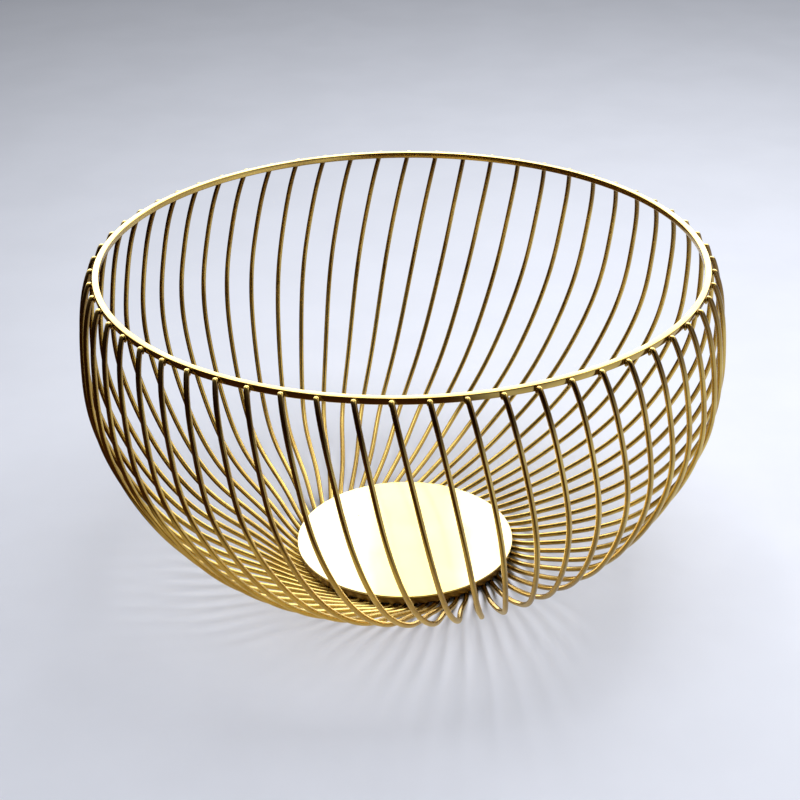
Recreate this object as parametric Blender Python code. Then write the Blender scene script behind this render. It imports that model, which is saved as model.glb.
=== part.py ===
"""Wire produce basket: an open bowl of swirled wire ribs on a small flat base.

The ribs are welded to the outside of a square-bar rim ring. They belly out, sweep under the bowl
with a twist and run flat beneath a base ring, which carries a thin round plate. The basket stands
on the flat ends of its ribs, centred on the Z axis with the table at Z = 0.
"""

import math

import bmesh
import bpy
from mathutils import Matrix, Vector

MM = 0.001

# Driving dimensions, in metres.
RIM_HEIGHT = 156.5 * MM        # table to the top of the rim
RIB_CIRCLE = 140.0 * MM        # radius of the circle through the rib tops
RIB_TOP = 155.2 * MM           # table to the cut top of a rib, a little below the rim's top
RIB_WIRE = 2.4 * MM            # rib wire diameter
RING_BAR = 3.0 * MM            # side of the square bar in both rings
BASE_RING_RADIUS = 50.7 * MM   # to the middle of the bar
PLATE_RADIUS = 52.6 * MM
PLATE_THICKNESS = 1.0 * MM
WELD_GAP = 0.3 * MM            # left open where two pieces are welded

RIB_COUNT = 60
RIBS_PER_NODE = 2
FIRST_RIB = math.radians(4.0)  # direction of the first rib's top, from +X

# A six-sided tube with the section area of the round wire, a flat of it down at the feet.
RIB_SECTION = RIB_WIRE / 2 * math.sqrt(math.pi / (3 * math.sin(math.radians(60))))
RIB_TILT = math.radians(-8.0)
FOOT_HEIGHT = RIB_SECTION * math.cos(math.radians(30))

# Control points of one rib's centre line: radius and height in mm, swirl in degrees.
RIB_OUTLINE = (
    (RIB_CIRCLE / MM, RIB_TOP / MM, 0.0),
    (144.2, 146.0, 1.0),
    (146.2, 120.0, 3.2),
    (146.4, 88.0, 5.5),
    (123.6, 43.5, 9.5),
    (97.0, 20.5, 16.0),
    (70.0, 10.0, 21.0),
    (55.5, FOOT_HEIGHT / MM, 32.0),
    (49.5, FOOT_HEIGHT / MM, 37.5),
)
RIB_STEPS = 15                 # straight lengths that one rib is faceted into
FOOT_EASE = 1.15               # above 1, the lengths grow shorter towards the foot
TURN_STEPS = 4                 # straight lengths in the half turn that joins two rib feet
RIM_STEPS = 120
BASE_STEPS = 60

GOLD = (0.83, 0.62, 0.28)
PALE_GOLD = (0.89, 0.82, 0.60)


def clear_scene():
    for old in list(bpy.data.objects):
        bpy.data.objects.remove(old, do_unlink=True)


def plated_metal(name, colour, roughness):
    """Gold-coloured plating on steel."""
    material = bpy.data.materials.new(name)
    material.use_nodes = True
    shader = material.node_tree.nodes["Principled BSDF"]
    shader.inputs["Base Color"].default_value = (*colour, 1.0)
    shader.inputs["Metallic"].default_value = 1.0
    shader.inputs["Roughness"].default_value = roughness
    return material


def add_part(name, data, material, turn=0.0):
    """Put a mesh or curve in the scene as a part, turned about the basket's axis."""
    part = bpy.data.objects.new(name, data)
    part.rotation_euler.z = turn
    bpy.context.collection.objects.link(part)
    if not data.materials:
        data.materials.append(material)
    return part


def rib_knots():
    """Knots of a cubic B-spline that starts and ends on its outer control points."""
    inner = len(RIB_OUTLINE) - 3
    return [0.0] * 3 + [step / inner for step in range(inner + 1)] + [1.0] * 3


def rib_point(along):
    """Point of the rib's centre line at 0 (rim) to 1 (inner end), by de Boor's rule."""
    knots = rib_knots()
    last = len(RIB_OUTLINE) - 1
    span = max(index for index in range(3, last + 1) if knots[index] <= along)
    near = [Vector(RIB_OUTLINE[span - 3 + index]) for index in range(4)]
    for level in range(1, 4):
        for index in range(3, level - 1, -1):
            low = knots[span - 3 + index]
            high = knots[span + 1 + index - level]
            near[index] = near[index - 1].lerp(near[index], (along - low) / (high - low))
    radius, height, swirl = near[3]
    turned = Matrix.Rotation(math.radians(swirl), 3, "Z")
    return turned @ Vector((radius * MM, 0.0, height * MM))


def rib_line():
    shares = [step / RIB_STEPS for step in range(RIB_STEPS + 1)]
    return [rib_point(1.0 - (1.0 - share) ** FOOT_EASE) for share in shares]


def half_turn(start, end, heading):
    """Points between two rib feet, on the half circle that bulges along heading."""
    middle = (start + end) / 2
    side = start - middle
    bulge = (heading - heading.project(side)).normalized() * side.length
    angles = [math.pi * step / TURN_STEPS for step in range(1, TURN_STEPS)]
    return [middle + side * math.cos(angle) + bulge * math.sin(angle) for angle in angles]


def rib_pair_curve():
    """Two neighbouring ribs and the half turn that joins their feet, as one wire."""
    first = rib_line()
    to_next = Matrix.Rotation(math.tau / RIB_COUNT, 3, "Z")
    second = [to_next @ point for point in first]
    heading = first[-1] - first[-2]
    heading.z = 0.0
    turn = half_turn(first[-1], second[-1], heading)
    line = first + turn + second[::-1]

    curve = bpy.data.curves.new("rib_pair", "CURVE")
    curve.dimensions = "3D"
    curve.twist_mode = "MINIMUM"
    curve.bevel_depth = RIB_SECTION
    curve.bevel_resolution = 1
    curve.use_fill_caps = True
    spline = curve.splines.new("POLY")
    spline.points.add(len(line) - 1)
    for place, point in zip(spline.points, line):
        place.co = (*point, 1.0)
        place.tilt = RIB_TILT
    return curve


def add_rib_pairs(material):
    curve = rib_pair_curve()
    pair_pitch = math.tau * RIBS_PER_NODE / RIB_COUNT
    for index in range(RIB_COUNT // RIBS_PER_NODE):
        add_part(f"rib_pair_{index + 1:02}", curve, material, FIRST_RIB + index * pair_pitch)


def finish_mesh(name, shape):
    mesh = bpy.data.meshes.new(name)
    shape.to_mesh(mesh)
    shape.free()
    mesh.shade_smooth()
    mesh.set_sharp_from_angle(angle=math.radians(30))
    return mesh


def square_ring_mesh(name, radius, bottom, steps):
    """A ring of square bar: the bar's outline spun once about Z."""
    half = RING_BAR / 2
    corners = (
        (radius - half, bottom),
        (radius + half, bottom),
        (radius + half, bottom + RING_BAR),
        (radius - half, bottom + RING_BAR),
    )
    shape = bmesh.new()
    loop = [shape.verts.new((across, 0.0, up)) for across, up in corners]
    edges = [shape.edges.new((loop[index - 1], loop[index])) for index in range(len(loop))]
    bmesh.ops.spin(shape, geom=loop + edges, axis=(0, 0, 1), cent=(0, 0, 0),
                   angle=math.tau, steps=steps, use_merge=True)
    bmesh.ops.recalc_face_normals(shape, faces=shape.faces)
    return finish_mesh(name, shape)


def add_rim_ring(material):
    radius = RIB_CIRCLE - RIB_SECTION - WELD_GAP - RING_BAR / 2
    mesh = square_ring_mesh("rim_ring", radius, RIM_HEIGHT - RING_BAR, RIM_STEPS)
    add_part("rim_ring", mesh, material)


def base_ring_bottom():
    return 2 * FOOT_HEIGHT + 2 * WELD_GAP


def add_base_ring(material):
    mesh = square_ring_mesh("base_ring", BASE_RING_RADIUS, base_ring_bottom(), BASE_STEPS)
    add_part("base_ring", mesh, material)


def add_base_plate(material):
    shape = bmesh.new()
    bottom = base_ring_bottom() + RING_BAR + WELD_GAP
    middle = Matrix.Translation((0.0, 0.0, bottom + PLATE_THICKNESS / 2))
    bmesh.ops.create_cone(shape, cap_ends=True, segments=BASE_STEPS, radius1=PLATE_RADIUS,
                          radius2=PLATE_RADIUS, depth=PLATE_THICKNESS, matrix=middle)
    add_part("base_plate", finish_mesh("base_plate", shape), material)


def main():
    clear_scene()
    gold = plated_metal("gold_plated_wire", GOLD, 0.22)
    pale_gold = plated_metal("pale_gold_plate", PALE_GOLD, 0.3)
    add_rib_pairs(gold)
    add_rim_ring(gold)
    add_base_ring(gold)
    add_base_plate(pale_gold)


main()
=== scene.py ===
"""Wire produce basket: sixty swirled ribs, two rings, a round plate and the welds between."""

import math
import random

import bmesh
import bpy
from bpy.props import (
    FloatProperty,
    FloatVectorProperty,
    IntProperty,
    PointerProperty,
)
from mathutils import Matrix, Vector


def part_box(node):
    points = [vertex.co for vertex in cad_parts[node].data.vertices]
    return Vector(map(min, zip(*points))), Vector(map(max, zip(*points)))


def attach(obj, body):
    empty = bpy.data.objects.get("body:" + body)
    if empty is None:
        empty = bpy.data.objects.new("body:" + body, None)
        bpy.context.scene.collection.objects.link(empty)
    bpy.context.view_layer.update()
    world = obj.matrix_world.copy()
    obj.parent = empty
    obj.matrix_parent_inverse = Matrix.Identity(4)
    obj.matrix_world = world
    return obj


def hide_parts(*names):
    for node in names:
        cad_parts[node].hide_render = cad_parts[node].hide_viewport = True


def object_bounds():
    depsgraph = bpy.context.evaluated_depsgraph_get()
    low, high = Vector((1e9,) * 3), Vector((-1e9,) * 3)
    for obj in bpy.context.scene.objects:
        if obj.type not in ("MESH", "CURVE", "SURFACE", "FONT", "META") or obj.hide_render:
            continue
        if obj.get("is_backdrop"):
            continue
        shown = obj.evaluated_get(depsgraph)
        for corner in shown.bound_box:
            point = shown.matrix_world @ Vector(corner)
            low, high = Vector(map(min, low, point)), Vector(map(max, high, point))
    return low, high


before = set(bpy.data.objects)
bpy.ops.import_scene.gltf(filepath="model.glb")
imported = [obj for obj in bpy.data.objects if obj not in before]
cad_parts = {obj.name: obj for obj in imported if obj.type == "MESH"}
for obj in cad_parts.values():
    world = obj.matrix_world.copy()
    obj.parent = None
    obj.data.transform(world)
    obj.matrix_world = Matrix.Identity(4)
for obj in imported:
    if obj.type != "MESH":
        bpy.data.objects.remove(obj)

bl_info = {
    "name": "Wire Produce Basket",
    "version": (1, 0, 0),
    "blender": (4, 5, 0),
    "location": "3D View > Sidebar > Basket",
    "description": "Builds the ribs, rings, plate and welds of a swirled wire basket",
    "category": "Add Mesh",
}

MM = 0.001
BODY = "root"
RIBS_PER_NODE = 2  # a CAD rib pair holds two neighbouring ribs

# One rib's centre line, as control points of a cubic B-spline: radius and height in mm, and how
# far the rib has swirled round the basket, in degrees. The last two lie flat on the table.
RIB_OUTLINE = (
    (139.4, 156.1, 0.0),
    (144.2, 146.0, 1.0),
    (146.2, 120.0, 3.2),
    (146.4, 88.0, 5.5),
    (123.6, 43.5, 9.5),
    (97.0, 20.5, 16.0),
    (70.0, 10.0, 21.0),
    (55.5, 1.2, 32.0),
    (49.5, 1.2, 37.5),
)

# What the metal mirrors on the bright and the dark side of the room, from level (0) to straight
# up (1). Its strong lights are a long window behind the basket and a softer glow overhead.
BRIGHT_SIDE = (
    (0.0, (0.8, 0.8, 0.8)), (0.3, (1.2, 1.2, 1.2)), (0.62, (1.0, 1.0, 1.0)),
    (0.84, (0.15, 0.15, 0.15)), (0.93, (1.5, 1.5, 1.5)), (1.0, (2.8, 2.8, 2.8)),
)
DARK_SIDE = (
    (0.0, (0.03, 0.013, 0.006)), (0.15, (0.03, 0.015, 0.008)), (0.45, (0.12, 0.11, 0.10)),
    (0.86, (0.08, 0.07, 0.06)), (1.0, (0.2, 0.19, 0.18)),
)
WINDOW = (5.0, 5.0, 5.0)
WINDOW_TOWARD = (0.10, 0.995, 0.0)  # from the basket to the window
DARK_TOWARD = (-0.35, -0.94, 0.0)  # to the middle of the dark side
# The next two set the painted shade and the painted warm glow that the metal sees on the floor.
LIT_TOWARD = (0.95, 0.30, 0.0)  # the way that the mirrored floor grows lighter
PAINTED_GLOW_PLACE = (-0.05, -0.10, 0.0)  # the middle of the floor that the gold warms, in metres

BEAD_SWELL = (0.85, 1.15)  # the smallest and the largest weld bead, by its true size
SEAM_ROUND = 0.42  # rounding of a butt weld's edges, by its thinnest side
FOOT_STEPS = 400  # steps along a rib, to find where its foot passes under the base ring
FOOT_START = 360  # the first of them that can lie under it

# A Mix node of colours: its sockets for the share and the two colours, and its result.
COLOURS = {"data_type": "RGBA"}
SHARE, FIRST, SECOND, MIXED = 0, 6, 7, 2
EASED = {"interpolation_type": "SMOOTHSTEP"}  # for a Map Range node that eases in and out


def srgb(code):
    """An sRGB hex colour as the linear values that shaders use."""
    shades = [int(code[place : place + 2], 16) / 255 for place in (1, 3, 5)]
    return tuple(s / 12.92 if s <= 0.04045 else ((s + 0.055) / 1.055) ** 2.4 for s in shades)


# ---------------------------------------------------------------- sizes and colours


class BasketRibSettings(bpy.types.PropertyGroup):
    count: IntProperty(
        name="Ribs", description="How many ribs stand round the basket", default=60, min=3
    )
    wire: FloatProperty(
        name="Wire", description="Diameter of the rib wire", default=2.4 * MM, unit="LENGTH"
    )
    first: FloatProperty(
        name="First rib",
        description="Direction of the first rib's top, from the X axis",
        default=math.radians(4.0),
        subtype="ANGLE",
    )
    tip_round: FloatProperty(
        name="Tip rounding",
        description="Radius of the rounding at a rib's cut ends",
        default=0.7 * MM,
        unit="LENGTH",
    )
    uneven: FloatProperty(
        name="Unevenness",
        description="How far a rib's belly typically strays from its true place",
        default=0.3 * MM,
        unit="LENGTH",
    )
    steps: IntProperty(
        name="Steps", description="Lengths that a rib's curve is drawn with", default=96, min=8
    )
    sides: IntProperty(
        name="Sides", description="Flats round the wire", default=16, min=6, step=2
    )
    seed: IntProperty(name="Seed", description="Chooses the unevenness", default=7)


class BasketRingSettings(bpy.types.PropertyGroup):
    bar: FloatProperty(
        name="Bar", description="Side of the square bar in both rings", default=3.0 * MM,
        unit="LENGTH",
    )
    crown: FloatProperty(
        name="Crown",
        description="How far the middle of each rolled face stands proud of its edges",
        default=0.05 * MM,
        unit="LENGTH",
    )
    edge: FloatProperty(
        name="Edge rounding", description="Rounding of the bar's edges", default=0.35 * MM,
        unit="LENGTH",
    )
    steps: IntProperty(
        name="Steps", description="Lengths that a ring is drawn with", default=240, min=12
    )
    seam: FloatProperty(
        name="Seam", description="Length of the butt weld along the bar", default=1.8 * MM,
        unit="LENGTH",
    )
    seam_proud: FloatProperty(
        name="Seam swelling", description="How much thicker than the bar its butt weld is",
        default=0.2 * MM, unit="LENGTH",
    )
    rim_seam: FloatProperty(
        name="Rim seam", description="Direction of the rim ring's butt weld, from the X axis",
        default=math.radians(49.0), subtype="ANGLE",
    )
    base_seam: FloatProperty(
        name="Base seam", description="Direction of the base ring's butt weld, from the X axis",
        default=math.radians(208.0), subtype="ANGLE",
    )


class BasketPlateSettings(bpy.types.PropertyGroup):
    edge: FloatProperty(
        name="Edge rounding", description="Rounding of the sheared edge", default=0.3 * MM,
        unit="LENGTH",
    )
    steps: IntProperty(
        name="Steps", description="Straight lengths round the plate's edge", default=180, min=12
    )


class BasketWeldSettings(bpy.types.PropertyGroup):
    rim_bead: FloatVectorProperty(
        name="Rim bead", description="Bead between a rib and the rim: out, round, up",
        default=(1.2 * MM, 2.4 * MM, 2.8 * MM), unit="LENGTH",
    )
    rim_out: FloatProperty(
        name="Rim bead out", description="From the rim bar's outer face to the bead's middle",
        default=0.2 * MM, unit="LENGTH",
    )
    rim_drop: FloatProperty(
        name="Rim bead drop", description="From the top of the rim to the bead's middle",
        default=2.7 * MM, unit="LENGTH",
    )
    foot_bead: FloatVectorProperty(
        name="Foot bead", description="Bead between a rib's foot and the base ring",
        default=(2.8 * MM, 2.2 * MM, 0.9 * MM), unit="LENGTH",
    )
    foot_drop: FloatProperty(
        name="Foot bead drop", description="From the base ring's underside to the bead's middle",
        default=0.24 * MM, unit="LENGTH",
    )
    plate_bead: FloatVectorProperty(
        name="Plate bead", description="Spot weld between the base ring and the plate",
        default=(2.4 * MM, 3.2 * MM, 0.7 * MM), unit="LENGTH",
    )
    plate_count: IntProperty(
        name="Plate welds", description="Spot welds that hold the plate", default=12, min=3
    )


class BasketFinishSettings(bpy.types.PropertyGroup):
    gold: FloatVectorProperty(
        name="Gold", description="Colour of the plating on wire and bar", subtype="COLOR",
        default=srgb("#D1B462"), min=0.0, max=1.0,
    )
    deep_gold: FloatVectorProperty(
        name="Deep gold", description="Where the plating is thick", subtype="COLOR",
        default=srgb("#B6984F"), min=0.0, max=1.0,
    )
    # Brown gold also paints shade on the ribs below the rim and over the base ring. Elsewhere it
    # marks specks, pits and wear.
    brown_gold_and_painted_shade: FloatVectorProperty(
        name="Brown gold", description="Where the plating is thin, beside a weld",
        subtype="COLOR", default=srgb("#6A4E28"), min=0.0, max=1.0,
    )
    sheet_gold: FloatVectorProperty(
        name="Sheet gold", description="Colour of the plate", subtype="COLOR",
        default=srgb("#E4D09A"), min=0.0, max=1.0,
    )
    # This colour paints a reflection, the yellower band across the plate, and also gives the
    # plate's random yellower patches.
    sheet_tone_and_painted_band: FloatVectorProperty(
        name="Sheet band", description="The yellower band that the bath left across the plate",
        subtype="COLOR", default=srgb("#DEC672"), min=0.0, max=1.0,
    )


class BasketStageSettings(bpy.types.PropertyGroup):
    lens: FloatProperty(
        name="Lens", description="Focal length", default=79.45, subtype="DISTANCE_CAMERA"
    )
    camera_place: FloatVectorProperty(
        name="Camera place", description="Where the camera stands",
        default=(-1.52 * MM, -735.1 * MM, 470.8 * MM), subtype="TRANSLATION", unit="LENGTH",
    )
    camera_drop: FloatProperty(
        name="Camera drop", description="How far the camera looks down from level",
        default=math.radians(27.826), subtype="ANGLE",
    )
    camera_roll: FloatProperty(
        name="Camera roll", description="How far the camera leans to its side",
        default=math.radians(-0.779), subtype="ANGLE",
    )
    floor: FloatVectorProperty(
        name="Floor", description="Colour of the floor paper", subtype="COLOR",
        default=srgb("#E4E8F4"), min=0.0, max=1.0,
    )
    # Both colours below are painted: the floor's colour in reflections only, a painted shade and
    # a painted warm glow.
    floor_painted_shade: FloatVectorProperty(
        name="Floor shade", description="Colour of the floor's dark side in the metal",
        subtype="COLOR", default=srgb("#4A2E1C"), min=0.0, max=1.0,
    )
    floor_painted_glow: FloatVectorProperty(
        name="Floor glow", description="Colour in the metal of the floor that the bowl warms",
        subtype="COLOR", default=srgb("#E2D4B0"), min=0.0, max=1.0,
    )
    reach: FloatProperty(
        name="Floor reach", description="Radius of the floor", default=6.0, unit="LENGTH"
    )
    fill: FloatProperty(
        name="Fill", description="Strength of the even light on the floor", default=0.155
    )
    softbox: FloatProperty(
        name="Softbox", description="Side of the square softbox overhead", default=0.65,
        unit="LENGTH",
    )
    softbox_power: FloatProperty(
        name="Softbox power", description="In watts", default=10.8, unit="POWER"
    )
    softbox_place: FloatVectorProperty(
        name="Softbox place", description="Where the softbox hangs, facing down",
        default=(0.22, 0.15, 0.95), subtype="TRANSLATION", unit="LENGTH",
    )


# ---------------------------------------------------------------- nodes and finishes


def add_node(tree, kind, sockets, **settings):
    """Add a node, with a value or a link from an output in each socket. Returns its outputs."""
    node = tree.nodes.new("ShaderNode" + kind)
    for name, value in settings.items():
        setattr(node, name, value)
    for name, value in sockets.items():
        socket = node.inputs[name]
        if isinstance(value, bpy.types.NodeSocket):
            tree.links.new(value, socket)
        elif socket.type == "RGBA":
            socket.default_value = (*value, 1.0)
        else:
            socket.default_value = value
    return node.outputs


def lumps(size):
    """The scale of a noise whose lumps are about this many millimetres across."""
    return 1.0 / (size * MM)


def new_finish(name):
    """An empty material and its node tree, ready for a surface."""
    material = bpy.data.materials.new(name)
    material.use_nodes = True
    material.node_tree.nodes.clear()
    return material, material.node_tree


def close_metal(tree, colour, roughness, height, lift, coat):
    """The metal itself: bump of this lift in mm from height, under a thin clear lacquer."""
    bump = add_node(tree, "Bump", {"Height": height, "Strength": 1.0, "Distance": lift * MM})
    metal = add_node(
        tree, "BsdfPrincipled",
        {
            "Base Color": colour, "Metallic": 1.0, "Roughness": roughness,
            "Normal": bump["Normal"], "Coat Weight": coat, "Coat Roughness": 0.08,
        },
    )
    add_node(tree, "OutputMaterial", {"Surface": metal[0]})


def gold_plated_wire():
    """Drawn steel wire, gold plated and lacquered: bright, with faint die lines along it."""
    finish = bpy.context.scene.basket_finish
    material, tree = new_finish("gold_plated_drawn_wire")
    place = add_node(tree, "TexCoord", {})
    spot = place["Object"]
    up = add_node(tree, "SeparateXYZ", {0: spot})["Z"]

    # The bath laid the gold in thicker and thinner patches, some 28 mm across.
    drift = add_node(
        tree, "TexNoise", {"Vector": spot, "Scale": lumps(28.0), "Detail": 3.0}
    )["Fac"]
    thick = add_node(
        tree, "MapRange", {"Value": drift, "From Min": 0.35, "From Max": 0.65}, **EASED
    )[0]
    colour = add_node(
        tree, "Mix", {SHARE: thick, FIRST: finish.gold, SECOND: finish.deep_gold}, **COLOURS
    )[MIXED]

    # Painted shade: the ribs turn brown just below the rim, where the metal mirrors dark, and
    # stay gold on the cut tops.
    toward_rim = add_node(
        tree, "MapRange",
        {"Value": up, "From Min": 126.0 * MM, "From Max": 151.0 * MM, "To Max": 0.8}, **EASED,
    )[0]
    below_top = add_node(
        tree, "MapRange",
        {
            "Value": up, "From Min": 154.8 * MM, "From Max": 155.6 * MM, "To Min": 1.0,
            "To Max": 0.0,
        },
        **EASED,
    )[0]
    painted_rim_shade = add_node(tree, "Math", {0: toward_rim, 1: below_top}, operation="MULTIPLY")[0]
    colour = add_node(
        tree, "Mix", {SHARE: painted_rim_shade, FIRST: colour, SECOND: finish.brown_gold_and_painted_shade}, **COLOURS
    )[MIXED]

    # Specks about a millimetre across, where the plating took badly.
    speckle = add_node(
        tree, "TexNoise", {"Vector": spot, "Scale": lumps(1.1), "Detail": 1.0}
    )["Fac"]
    specks = add_node(
        tree, "MapRange",
        {"Value": speckle, "From Min": 0.70, "From Max": 0.76, "To Max": 0.7}, **EASED,
    )[0]
    colour = add_node(
        tree, "Mix", {SHARE: specks, FIRST: colour, SECOND: finish.brown_gold_and_painted_shade}, **COLOURS
    )[MIXED]

    # The die's scratches are a few hundredths of a millimetre wide. Drawn coarser, 18 round the
    # wire and some 25 mm long, they still show as fine lines.
    drawn = add_node(tree, "Mapping", {"Vector": place["UV"], "Scale": (10.0, 18.0, 1.0)})[0]
    lines = add_node(
        tree, "TexNoise", {"Vector": drawn, "Scale": 1.0, "Detail": 3.0}, noise_dimensions="2D"
    )["Fac"]
    lined = add_node(
        tree, "MapRange",
        {"Value": lines, "From Min": 0.3, "From Max": 0.7, "To Min": 0.12, "To Max": 0.20},
        **EASED,
    )[0]
    handled = add_node(
        tree, "TexNoise",
        {"Vector": spot, "Scale": lumps(9.0), "Detail": 4.0, "Roughness": 0.6},
    )["Fac"]
    dull = add_node(
        tree, "MapRange",
        {"Value": handled, "From Min": 0.56, "From Max": 0.70, "To Max": 0.14}, **EASED,
    )[0]
    roughness = add_node(tree, "Math", {0: lined, 1: dull}, operation="ADD")[0]
    grain = add_node(tree, "TexNoise", {"Vector": spot, "Scale": lumps(0.35)})["Fac"]
    height = add_node(tree, "Math", {0: grain, 1: 0.5, 2: lines}, operation="MULTIPLY_ADD")[0]
    close_metal(tree, colour, roughness, height, 0.012, 0.25)
    return material


def gold_plated_bar(name, thin):
    """Rolled square bar, plated like the wire: rolling lines run round the ring. In the base
    ring, thin is near 1: that ring is painted brown all over as painted shade under the plate,
    and made dull.
    """
    finish = bpy.context.scene.basket_finish
    material, tree = new_finish(name)
    spot = add_node(tree, "TexCoord", {})["Object"]
    up = add_node(tree, "SeparateXYZ", {0: spot})["Z"]
    flat = add_node(tree, "VectorMath", {0: spot, 1: (1.0, 1.0, 0.0)}, operation="MULTIPLY")[0]
    radius = add_node(tree, "VectorMath", {0: flat}, operation="LENGTH")["Value"]

    # Thicker and thinner gold in patches, and duller, brown patches of wear. On the base ring the
    # brown covers nearly all the bar, as painted shade.
    drift = add_node(
        tree, "TexNoise", {"Vector": spot, "Scale": lumps(30.0), "Detail": 3.0}
    )["Fac"]
    thick = add_node(
        tree, "MapRange", {"Value": drift, "From Min": 0.35, "From Max": 0.65}, **EASED
    )[0]
    colour = add_node(
        tree, "Mix", {SHARE: thick, FIRST: finish.gold, SECOND: finish.deep_gold}, **COLOURS
    )[MIXED]
    handled = add_node(
        tree, "TexNoise",
        {"Vector": spot, "Scale": lumps(7.0), "Detail": 4.0, "Roughness": 0.6},
    )["Fac"]
    wear_and_painted_shade = add_node(
        tree, "MapRange",
        {
            "Value": handled, "From Min": 0.54, "From Max": 0.70, "To Min": thin,
            "To Max": thin + 0.15,
        },
        **EASED,
    )[0]
    colour = add_node(
        tree, "Mix", {SHARE: wear_and_painted_shade, FIRST: colour, SECOND: finish.brown_gold_and_painted_shade}, **COLOURS
    )[MIXED]

    # Rolling lines follow the bar: they depend on radius and height, and wander a little.
    wander = add_node(tree, "TexNoise", {"Vector": spot, "Scale": lumps(40.0)})["Fac"]
    across = add_node(
        tree, "Math", {0: wander, 1: 1.5 * MM, 2: radius}, operation="MULTIPLY_ADD"
    )[0]
    section = add_node(tree, "CombineXYZ", {"X": across, "Y": up})[0]
    lines = add_node(tree, "TexNoise", {"Vector": section, "Scale": lumps(0.45)})["Fac"]
    lined = add_node(
        tree, "MapRange",
        {"Value": lines, "From Min": 0.3, "From Max": 0.7, "To Min": 0.10, "To Max": 0.18},
        **EASED,
    )[0]
    roughness = add_node(tree, "Math", {0: wear_and_painted_shade, 1: 0.25, 2: lined}, operation="MULTIPLY_ADD")[0]
    grain = add_node(tree, "TexNoise", {"Vector": spot, "Scale": lumps(0.5)})["Fac"]
    height = add_node(tree, "Math", {0: grain, 1: 0.4, 2: lines}, operation="MULTIPLY_ADD")[0]
    close_metal(tree, colour, roughness, height, 0.01, 0.25)
    return material


def plated_weld():
    """Resistance weld squeezed out between two pieces and plated over: small rounded ripples."""
    finish = bpy.context.scene.basket_finish
    material, tree = new_finish("plated_weld_metal")
    spot = add_node(tree, "TexCoord", {})["Object"]
    ripples = add_node(
        tree, "TexNoise", {"Vector": spot, "Scale": lumps(0.8), "Detail": 3.0}
    )["Fac"]
    colour = add_node(
        tree, "Mix", {SHARE: ripples, FIRST: finish.gold, SECOND: finish.deep_gold}, **COLOURS
    )[MIXED]
    pitting = add_node(tree, "TexNoise", {"Vector": spot, "Scale": lumps(0.5)})["Fac"]
    pits = add_node(
        tree, "MapRange",
        {"Value": pitting, "From Min": 0.55, "From Max": 0.75, "To Max": 0.5}, **EASED,
    )[0]
    colour = add_node(
        tree, "Mix", {SHARE: pits, FIRST: colour, SECOND: finish.brown_gold_and_painted_shade}, **COLOURS
    )[MIXED]
    roughness = add_node(
        tree, "MapRange",
        {"Value": ripples, "From Min": 0.3, "From Max": 0.7, "To Min": 0.18, "To Max": 0.34},
        **EASED,
    )[0]
    close_metal(tree, colour, roughness, ripples, 0.05, 0.25)
    return material


def plated_sheet():
    """Pressed steel sheet, brushed and pale-gold plated: it glows evenly, with a soft image."""
    finish = bpy.context.scene.basket_finish
    material, tree = new_finish("brushed_pale_gold_sheet")
    spot = add_node(tree, "TexCoord", {})["Object"]

    # Painted reflection: a yellower band from front to back, a little right of the middle.
    aside = add_node(tree, "SeparateXYZ", {0: spot})["X"]
    middle = add_node(tree, "Math", {0: aside, 1: 5.0 * MM}, operation="SUBTRACT")[0]
    distance = add_node(tree, "Math", {0: middle}, operation="ABSOLUTE")[0]
    band = add_node(
        tree, "MapRange",
        {
            "Value": distance, "From Min": 12.0 * MM, "From Max": 34.0 * MM, "To Min": 1.0,
            "To Max": 0.0,
        },
        **EASED,
    )[0]
    colour = add_node(
        tree, "Mix", {SHARE: band, FIRST: finish.sheet_gold, SECOND: finish.sheet_tone_and_painted_band}, **COLOURS
    )[MIXED]
    haze = add_node(
        tree, "TexNoise", {"Vector": spot, "Scale": lumps(18.0), "Detail": 3.0}
    )["Fac"]
    yellower = add_node(
        tree, "MapRange", {"Value": haze, "From Min": 0.4, "From Max": 0.7, "To Max": 0.25},
        **EASED,
    )[0]
    colour = add_node(
        tree, "Mix", {SHARE: yellower, FIRST: colour, SECOND: finish.sheet_tone_and_painted_band}, **COLOURS
    )[MIXED]

    # A few pinholes in the plating, about half a millimetre across and 30 mm apart.
    apart = add_node(tree, "TexVoronoi", {"Vector": spot, "Scale": lumps(32.0)})["Distance"]
    holes = add_node(
        tree, "MapRange",
        {"Value": apart, "From Min": 0.011, "From Max": 0.018, "To Min": 0.9, "To Max": 0.0},
        **EASED,
    )[0]
    colour = add_node(
        tree, "Mix", {SHARE: holes, FIRST: colour, SECOND: finish.brown_gold_and_painted_shade}, **COLOURS
    )[MIXED]

    # Brush lines run left to right. The belt's grit leaves 0.1 mm lines, drawn at 0.3 mm.
    stretched = add_node(tree, "Mapping", {"Vector": spot, "Scale": (0.012, 1.0, 1.0)})[0]
    brushed = add_node(
        tree, "TexNoise", {"Vector": stretched, "Scale": lumps(0.3), "Detail": 3.0}
    )["Fac"]
    hazy = add_node(
        tree, "MapRange",
        {"Value": haze, "From Min": 0.3, "From Max": 0.7, "To Min": 0.26, "To Max": 0.34},
        **EASED,
    )[0]
    roughness = add_node(
        tree, "Math", {0: brushed, 1: 0.06, 2: hazy}, operation="MULTIPLY_ADD"
    )[0]
    grain = add_node(tree, "TexNoise", {"Vector": spot, "Scale": lumps(0.4)})["Fac"]
    height = add_node(tree, "Math", {0: grain, 1: 0.3, 2: brushed}, operation="MULTIPLY_ADD")[0]
    close_metal(tree, colour, roughness, height, 0.004, 0.3)
    return material


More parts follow.
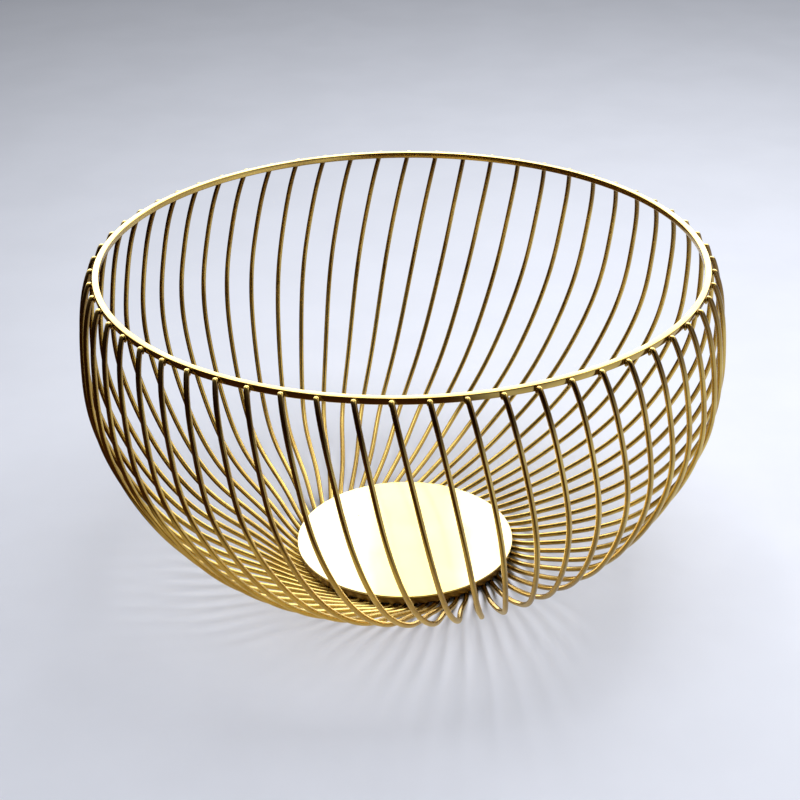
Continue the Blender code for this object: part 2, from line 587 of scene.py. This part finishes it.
def floor_paper():
    """Matt white background paper: its fibres give a faint tooth and a barely uneven tone. In the
    metal it shows painted shade and a painted glow.
    """
    stage = bpy.context.scene.basket_stage
    material, tree = new_finish("matt_white_paper")
    spot = add_node(tree, "TexCoord", {})["Object"]
    cloud = add_node(
        tree, "TexNoise", {"Vector": spot, "Scale": lumps(60.0), "Detail": 3.0}
    )["Fac"]
    tone = add_node(
        tree, "MapRange", {"Value": cloud, "From Min": 0.3, "From Max": 0.7}, **EASED
    )[0]
    duller = tuple(0.97 * part for part in stage.floor)
    paper = add_node(tree, "Mix", {SHARE: tone, FIRST: stage.floor, SECOND: duller}, **COLOURS)

    # Painted reflection: to glossy rays only, the paper shows a painted shade, from light on the
    # right to dark on the left, which keeps the wires' left sides dark, as between dark screens
    # in a studio. Close under the bowl's front it shows a painted warm glow, standing in for
    # light bounced off the gold.
    side = add_node(tree, "VectorMath", {0: spot, 1: LIT_TOWARD}, operation="DOT_PRODUCT")
    lit = add_node(
        tree, "MapRange", {"Value": side["Value"], "From Min": -0.03, "From Max": 0.12}, **EASED
    )[0]
    mirrored = add_node(
        tree, "Mix", {SHARE: lit, FIRST: stage.floor_painted_shade, SECOND: stage.floor}, **COLOURS
    )[MIXED]
    away = add_node(tree, "VectorMath", {0: spot, 1: PAINTED_GLOW_PLACE}, operation="DISTANCE")
    glow = add_node(
        tree, "MapRange",
        {
            "Value": away["Value"], "From Min": 0.07, "From Max": 0.14, "To Min": 1.0,
            "To Max": 0.0,
        },
        **EASED,
    )[0]
    mirrored = add_node(
        tree, "Mix", {SHARE: glow, FIRST: mirrored, SECOND: stage.floor_painted_glow}, **COLOURS
    )[MIXED]
    glossy = add_node(tree, "LightPath", {})["Is Glossy Ray"]
    colour = add_node(
        tree, "Mix", {SHARE: glossy, FIRST: paper[MIXED], SECOND: mirrored}, **COLOURS
    )[MIXED]
    tooth = add_node(tree, "TexNoise", {"Vector": spot, "Scale": lumps(1.5)})["Fac"]
    bump = add_node(tree, "Bump", {"Height": tooth, "Strength": 0.3, "Distance": 0.05 * MM})
    matt = add_node(tree, "BsdfDiffuse", {"Color": colour, "Normal": bump["Normal"]})
    add_node(tree, "OutputMaterial", {"Surface": matt[0]})
    return material


# ---------------------------------------------------------------- shapes


def mesh_of(name, shape):
    """The bmesh as a smooth-shaded mesh."""
    mesh = bpy.data.meshes.new(name)
    shape.to_mesh(mesh)
    shape.free()
    mesh.shade_smooth()
    return mesh


def place_piece(name, mesh, material, slot, *nodes):
    """A piece of the basket that rides on its body and stands for these CAD nodes."""
    piece = bpy.data.objects.new(name, mesh)
    bpy.context.scene.collection.objects.link(piece)
    mesh.materials.clear()
    mesh.materials.append(material)
    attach(piece, BODY)
    if nodes:
        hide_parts(*nodes)


def rib_outline(chance, uneven):
    """The rib's control points, the middle ones pushed a little aside as in hand-set wire."""
    points = [Vector(point) for point in RIB_OUTLINE]
    out, aside = chance.gauss(0.0, uneven), chance.gauss(0.0, uneven)
    low_out, low_aside = chance.gauss(0.0, uneven), chance.gauss(0.0, uneven)
    for index, (radial, round_it) in {
        2: (0.6 * out, 0.6 * aside), 3: (out, aside), 4: (low_out, low_aside),
        5: (0.4 * low_out, 0.8 * low_aside),
    }.items():
        points[index].x += radial / MM
        points[index].z += math.degrees(round_it / (points[index].x * MM))
    return points


def rib_point(outline, along):
    """Point of a rib's centre line at 0 (rim) to 1 (foot): a clamped cubic B-spline."""
    inner = len(outline) - 3
    knots = [0.0] * 3 + [step / inner for step in range(inner + 1)] + [1.0] * 3
    span = max(index for index in range(3, len(outline)) if knots[index] <= along)
    near = outline[span - 3 : span + 1]
    for level in range(1, 4):
        for index in range(3, level - 1, -1):
            low = knots[span - 3 + index]
            high = knots[span + 1 + index - level]
            near[index] = near[index - 1].lerp(near[index], (along - low) / (high - low))
    radius, height, swirl = near[3]
    turned = Matrix.Rotation(math.radians(swirl), 3, "Z")
    return turned @ Vector((radius * MM, 0.0, height * MM))


def foot_point(radius):
    """Where the foot of an even rib, flat on the table, passes this far from the axis."""
    outline = [Vector(point) for point in RIB_OUTLINE]
    foot = [rib_point(outline, step / FOOT_STEPS) for step in range(FOOT_START, FOOT_STEPS + 1)]
    return min(foot, key=lambda point: abs(point.xy.length - radius))


def swept_tube(points, radius, sides):
    """A closed round tube along these points, as a bmesh with one flat face at each end."""
    curve = bpy.data.curves.new("path", "CURVE")
    curve.dimensions = "3D"
    curve.twist_mode = "MINIMUM"
    curve.bevel_depth = radius
    curve.bevel_resolution = sides // 2 - 2
    curve.use_fill_caps = True
    path = curve.splines.new("POLY")
    path.points.add(len(points) - 1)
    for place, point in zip(path.points, points):
        place.co = (*point, 1.0)
    sweep = bpy.data.objects.new("path", curve)
    bpy.context.scene.collection.objects.link(sweep)
    graph = bpy.context.evaluated_depsgraph_get()
    tube = bpy.data.meshes.new_from_object(sweep.evaluated_get(graph))
    shape = bmesh.new()
    shape.from_mesh(tube)
    bpy.data.objects.remove(sweep, do_unlink=True)
    bpy.data.curves.remove(curve)
    bpy.data.meshes.remove(tube)

    bmesh.ops.remove_doubles(shape, verts=shape.verts, dist=0.001 * MM)
    ends = [face for face in shape.faces if len(face.verts) == 3]
    bmesh.ops.dissolve_faces(shape, faces=ends)
    return shape


def rib_mesh(ribs, outline, turn):
    """One rib's tube, swept along its curve: cut level on top, with both ends' edges rounded."""
    points = [rib_point(outline, step / ribs.steps) for step in range(ribs.steps + 1)]
    shape = swept_tube(points, ribs.wire / 2, ribs.sides)
    ends = [face for face in shape.faces if len(face.verts) == ribs.sides]
    top = max(ends, key=lambda face: face.calc_center_median().z)
    level = Matrix.Translation((0.0, 0.0, -points[0].z))
    bmesh.ops.scale(shape, vec=(1.0, 1.0, 0.0), space=level, verts=top.verts)
    bmesh.ops.bevel(
        shape, geom=list({edge for face in ends for edge in face.edges}),
        offset=ribs.tip_round, offset_type="OFFSET", affect="EDGES", segments=4,
        profile=0.5, material=-1, clamp_overlap=True,
    )
    ends = [face for face in shape.faces if len(face.verts) == ribs.sides]
    bmesh.ops.poke(shape, faces=ends)
    bmesh.ops.recalc_face_normals(shape, faces=shape.faces)
    bmesh.ops.transform(shape, matrix=Matrix.Rotation(turn, 4, "Z"), verts=shape.verts)
    return mesh_of("rib", shape)


def ring_mesh(name, radius, bottom, ring):
    """A ring of rolled square bar: crowned faces and rounded edges, spun once about Z."""
    half, low = ring.bar / 2, ring.bar / 2 - ring.crown
    corners = [(-low, -low), (low, -low), (low, low), (-low, low)]
    middles = [(0.0, -half), (half, 0.0), (0.0, half), (-half, 0.0)]
    shape = bmesh.new()
    loop = []
    for corner, middle in zip(corners, middles):
        for across, up in (corner, middle):
            loop.append(shape.verts.new((radius + across, 0.0, bottom + half + up)))
    for index in range(len(loop)):
        shape.edges.new((loop[index - 1], loop[index]))
    bmesh.ops.bevel(
        shape, geom=loop[0::2], offset=ring.edge, offset_type="OFFSET", affect="VERTICES",
        segments=4, profile=0.5, material=-1,
    )
    bmesh.ops.spin(
        shape, geom=shape.verts[:] + shape.edges[:], axis=(0, 0, 1), cent=(0, 0, 0),
        angle=math.tau, steps=ring.steps, use_merge=True,
    )
    bmesh.ops.recalc_face_normals(shape, faces=shape.faces)
    return mesh_of(name, shape)


def add_bead(shape, size, matrix):
    """One rounded bead, of this size along X, Y and Z before the matrix, into the bmesh."""
    stretched = matrix @ Matrix.Diagonal((*(side / 2 for side in size), 1.0))
    bmesh.ops.create_icosphere(shape, subdivisions=2, radius=1.0, matrix=stretched)


def butt_weld_mesh(name, radius, height, size, turn):
    """The ground-down swelling where a ring's two ends meet, a hair thicker than the bar."""
    shape = bmesh.new()
    bmesh.ops.create_cube(shape, size=1.0, matrix=Matrix.Diagonal((*size, 1.0)))
    bmesh.ops.bevel(
        shape, geom=shape.edges[:], offset=min(size) * SEAM_ROUND, offset_type="OFFSET",
        affect="EDGES", segments=4, profile=0.5, material=-1,
    )
    place = Matrix.Rotation(turn, 4, "Z") @ Matrix.Translation((radius, 0.0, height))
    bmesh.ops.transform(shape, matrix=place, verts=shape.verts)
    return mesh_of(name, shape)


# ---------------------------------------------------------------- one operator per piece


class BasketOperator:
    bl_options = {"REGISTER", "UNDO"}


class BASKET_OT_add_ribs(BasketOperator, bpy.types.Operator):
    """Add the swirled wire ribs, each a separate length of wire"""

    bl_idname = "basket.add_ribs"
    bl_label = "Add Ribs"

    def execute(self, context):
        ribs = context.scene.basket_ribs
        gold = gold_plated_wire()
        chance = random.Random(ribs.seed)
        for index in range(ribs.count):
            outline = rib_outline(chance, ribs.uneven)
            mesh = rib_mesh(ribs, outline, ribs.first + math.tau * index / ribs.count)
            pair = f"rib_pair_{index // RIBS_PER_NODE + 1:02}"
            place_piece(f"rib_{index + 1:02}", mesh, gold, "rib_wire", pair)
        return {"FINISHED"}


class BASKET_OT_add_rings(BasketOperator, bpy.types.Operator):
    """Add the rim ring and the base ring, both of square bar, with their butt welds"""

    bl_idname = "basket.add_rings"
    bl_label = "Add Rings"

    def execute(self, context):
        ring = context.scene.basket_rings
        size = (ring.bar + ring.seam_proud, ring.seam, ring.bar + ring.seam_proud)
        for node, finish, turn in (
            ("rim_ring", gold_plated_bar("gold_plated_square_bar", 0.0), ring.rim_seam),
            # The base ring's 0.8 paints it brown: painted shade under the plate.
            ("base_ring", gold_plated_bar("square_bar_in_painted_shade", 0.8), ring.base_seam),
        ):
            low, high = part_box(node)
            radius = high[0] - ring.bar / 2
            mesh = ring_mesh(f"{node}_bar", radius, low[2], ring)
            place_piece(f"{node}_bar", mesh, finish, "ring_bar", node)
            name = f"{node}_butt_weld"
            mesh = butt_weld_mesh(name, radius, low[2] + ring.bar / 2, size, turn)
            place_piece(name, mesh, finish, "ring_bar")
        return {"FINISHED"}


class BASKET_OT_add_plate(BasketOperator, bpy.types.Operator):
    """Add the round base plate, its sheared edge rounded by polishing"""

    bl_idname = "basket.add_plate"
    bl_label = "Add Base Plate"

    def execute(self, context):
        plate = context.scene.basket_plate
        low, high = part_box("base_plate")
        middle = Matrix.Translation((0.0, 0.0, (low[2] + high[2]) / 2))
        shape = bmesh.new()
        bmesh.ops.create_cone(
            shape, cap_ends=True, segments=plate.steps, radius1=high[0], radius2=high[0],
            depth=high[2] - low[2], matrix=middle,
        )
        faces = [face for face in shape.faces if len(face.verts) == plate.steps]
        bmesh.ops.bevel(
            shape, geom=list({edge for face in faces for edge in face.edges}),
            offset=plate.edge, offset_type="OFFSET", affect="EDGES", segments=3, profile=0.5,
            material=-1,
        )
        faces = [face for face in shape.faces if len(face.verts) == plate.steps]
        bmesh.ops.inset_region(shape, faces=faces, thickness=plate.edge, depth=0.0)
        mesh = mesh_of("base_plate_sheet", shape)
        place_piece("base_plate_sheet", mesh, plated_sheet(), "base_plate", "base_plate")
        return {"FINISHED"}


class BASKET_OT_add_welds(BasketOperator, bpy.types.Operator):
    """Add the weld beads: ribs to rim ring, ribs to base ring, and base ring to plate"""

    bl_idname = "basket.add_welds"
    bl_label = "Add Welds"

    def execute(self, context):
        ribs, ring = context.scene.basket_ribs, context.scene.basket_rings
        welds = context.scene.basket_welds
        metal = plated_weld()
        chance = random.Random(ribs.seed + 1)
        rim_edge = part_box("rim_ring")[1]
        base_low, base_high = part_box("base_ring")
        base_middle = base_high[0] - ring.bar / 2
        foot = foot_point(base_middle)
        rim, base, plate = bmesh.new(), bmesh.new(), bmesh.new()
        for index in range(ribs.count):
            turn = Matrix.Rotation(ribs.first + math.tau * index / ribs.count, 4, "Z")
            swell = chance.uniform(*BEAD_SWELL)
            height = rim_edge[2] - welds.rim_drop
            at_rim = Matrix.Translation((rim_edge[0] + welds.rim_out, 0.0, height))
            add_bead(rim, [side * swell for side in welds.rim_bead], turn @ at_rim)
            swell = chance.uniform(*BEAD_SWELL)
            at_foot = Matrix.Translation((foot.x, foot.y, base_low[2] - welds.foot_drop))
            add_bead(base, [side * swell for side in welds.foot_bead], turn @ at_foot)
        for index in range(welds.plate_count):
            turn = Matrix.Rotation(math.tau * (index + 0.5) / welds.plate_count, 4, "Z")
            at_plate = Matrix.Translation((base_middle, 0.0, base_high[2]))
            add_bead(plate, welds.plate_bead, turn @ at_plate)
        for name, shape, slot in (
            ("rim_weld_beads", rim, "rib_wire"),
            ("foot_weld_beads", base, "rib_wire"),
            ("plate_weld_beads", plate, "base_plate"),
        ):
            place_piece(name, mesh_of(name, shape), metal, slot)
        return {"FINISHED"}


# ---------------------------------------------------------------- stage


def lay_floor(scene, stage):
    """A wide sheet of paper under the basket."""
    shape = bmesh.new()
    bmesh.ops.create_circle(shape, cap_ends=True, segments=128, radius=stage.reach)
    bmesh.ops.translate(shape, verts=shape.verts, vec=(0.0, 0.0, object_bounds()[0][2]))
    floor = bpy.data.objects.new("floor", mesh_of("floor", shape))
    floor.data.materials.append(floor_paper())
    scene.collection.objects.link(floor)
    floor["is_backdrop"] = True


def set_stops(ramp, stops):
    """Give a colour ramp its stops: each a height, from -1 (down) to 1 (up), and a colour."""
    elements = ramp.node.color_ramp.elements
    while len(elements) < len(stops):
        elements.new(1.0)
    for element, (height, shade) in zip(elements, stops):
        element.position = (height + 1.0) / 2
        element.color = (*shade, 1.0)


def light_room(scene, stage):
    """The room that the metal mirrors, with an even fill for the paper, and a soft lamp.

    A white wall and a window stand behind and to the right. The room in front is dark, which
    gives polished metal its brown cores between bright edges."""
    world = bpy.data.worlds.new("studio")
    scene.world = world
    world.use_nodes = True
    world.cycles.sampling_method = "NONE"
    tree = world.node_tree
    tree.nodes.clear()
    toward = add_node(tree, "TexCoord", {})["Generated"]
    up = add_node(tree, "SeparateXYZ", {0: toward})["Z"]
    level = add_node(tree, "Math", {0: up, 1: 0.5, 2: 0.5}, operation="MULTIPLY_ADD")[0]
    bright = add_node(tree, "ValToRGB", {"Fac": level})["Color"]
    set_stops(bright, BRIGHT_SIDE)
    dark = add_node(tree, "ValToRGB", {"Fac": level})["Color"]
    set_stops(dark, DARK_SIDE)
    front = add_node(tree, "VectorMath", {0: toward, 1: DARK_TOWARD}, operation="DOT_PRODUCT")
    dimmed = add_node(
        tree, "MapRange", {"Value": front["Value"], "From Min": 0.0, "From Max": 0.3}, **EASED
    )[0]
    room = add_node(tree, "Mix", {SHARE: dimmed, FIRST: bright, SECOND: dark}, **COLOURS)[MIXED]

    # The window has a soft sill, a soft lintel and soft sides.
    sill = add_node(
        tree, "MapRange", {"Value": up, "From Min": 0.16, "From Max": 0.26}, **EASED
    )[0]
    lintel = add_node(
        tree, "MapRange",
        {"Value": up, "From Min": 0.68, "From Max": 0.82, "To Min": 1.0, "To Max": 0.0}, **EASED,
    )[0]
    back = add_node(tree, "VectorMath", {0: toward, 1: WINDOW_TOWARD}, operation="DOT_PRODUCT")
    sides = add_node(
        tree, "MapRange", {"Value": back["Value"], "From Min": 0.42, "From Max": 0.66}, **EASED
    )[0]
    pane = add_node(tree, "Math", {0: sill, 1: lintel}, operation="MULTIPLY")[0]
    pane = add_node(tree, "Math", {0: pane, 1: sides}, operation="MULTIPLY")[0]
    room = add_node(tree, "Mix", {SHARE: pane, FIRST: room, SECOND: WINDOW}, **COLOURS)[MIXED]

    glossy = add_node(tree, "LightPath", {})["Is Glossy Ray"]
    fill = (stage.fill,) * 3
    seen = add_node(tree, "Mix", {SHARE: glossy, FIRST: fill, SECOND: room}, **COLOURS)[MIXED]
    sky = add_node(tree, "Background", {"Color": seen})
    add_node(tree, "OutputWorld", {"Surface": sky[0]})

    lamp = bpy.data.lights.new("softbox", "AREA")
    lamp.shape = "SQUARE"
    lamp.size = stage.softbox
    lamp.energy = stage.softbox_power
    softbox = bpy.data.objects.new("softbox", lamp)
    softbox.location = stage.softbox_place
    softbox.visible_glossy = False
    scene.collection.objects.link(softbox)


def set_camera(scene, stage):
    data = bpy.data.cameras.new("camera")
    data.lens = stage.lens
    data.sensor_width = 36.0
    data.clip_start = 0.05
    camera = bpy.data.objects.new("camera", data)
    level = Matrix.Rotation(math.pi / 2 - stage.camera_drop, 4, "X")
    lean = Matrix.Rotation(stage.camera_roll, 4, "Z")
    camera.matrix_world = Matrix.Translation(stage.camera_place) @ level @ lean
    scene.collection.objects.link(camera)
    scene.camera = camera


class BASKET_OT_add_stage(BasketOperator, bpy.types.Operator):
    """Add the paper floor, the soft light and the camera"""

    bl_idname = "basket.add_stage"
    bl_label = "Add Stage"

    def execute(self, context):
        scene = context.scene
        lay_floor(scene, scene.basket_stage)
        light_room(scene, scene.basket_stage)
        set_camera(scene, scene.basket_stage)
        scene.view_settings.view_transform = "Standard"
        return {"FINISHED"}


class BASKET_PT_build(bpy.types.Panel):
    """The basket's pieces and sizes"""

    bl_idname = "BASKET_PT_build"
    bl_label = "Wire Produce Basket"
    bl_space_type = "VIEW_3D"
    bl_region_type = "UI"
    bl_category = "Basket"

    def draw(self, context):
        for operator in OPERATORS:
            self.layout.operator(operator.bl_idname)
        for name, group in SETTINGS.items():
            sizes = self.layout.box()
            sizes.label(text=name.removeprefix("basket_").capitalize())
            for setting in group.__annotations__:
                sizes.prop(getattr(context.scene, name), setting)


SETTINGS = {
    "basket_ribs": BasketRibSettings,
    "basket_rings": BasketRingSettings,
    "basket_plate": BasketPlateSettings,
    "basket_welds": BasketWeldSettings,
    "basket_finish": BasketFinishSettings,
    "basket_stage": BasketStageSettings,
}
OPERATORS = (
    BASKET_OT_add_ribs,
    BASKET_OT_add_rings,
    BASKET_OT_add_plate,
    BASKET_OT_add_welds,
    BASKET_OT_add_stage,
)


def register():
    for group in (*SETTINGS.values(), *OPERATORS, BASKET_PT_build):
        bpy.utils.register_class(group)
    for name, group in SETTINGS.items():
        setattr(bpy.types.Scene, name, PointerProperty(type=group))


def unregister():
    for name in SETTINGS:
        delattr(bpy.types.Scene, name)
    for group in reversed((*SETTINGS.values(), *OPERATORS, BASKET_PT_build)):
        bpy.utils.unregister_class(group)


def main():
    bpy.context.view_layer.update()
    register()
    bpy.ops.basket.add_ribs()
    bpy.ops.basket.add_rings()
    bpy.ops.basket.add_plate()
    bpy.ops.basket.add_welds()
    bpy.ops.basket.add_stage()


if __name__ == "__main__":
    main()
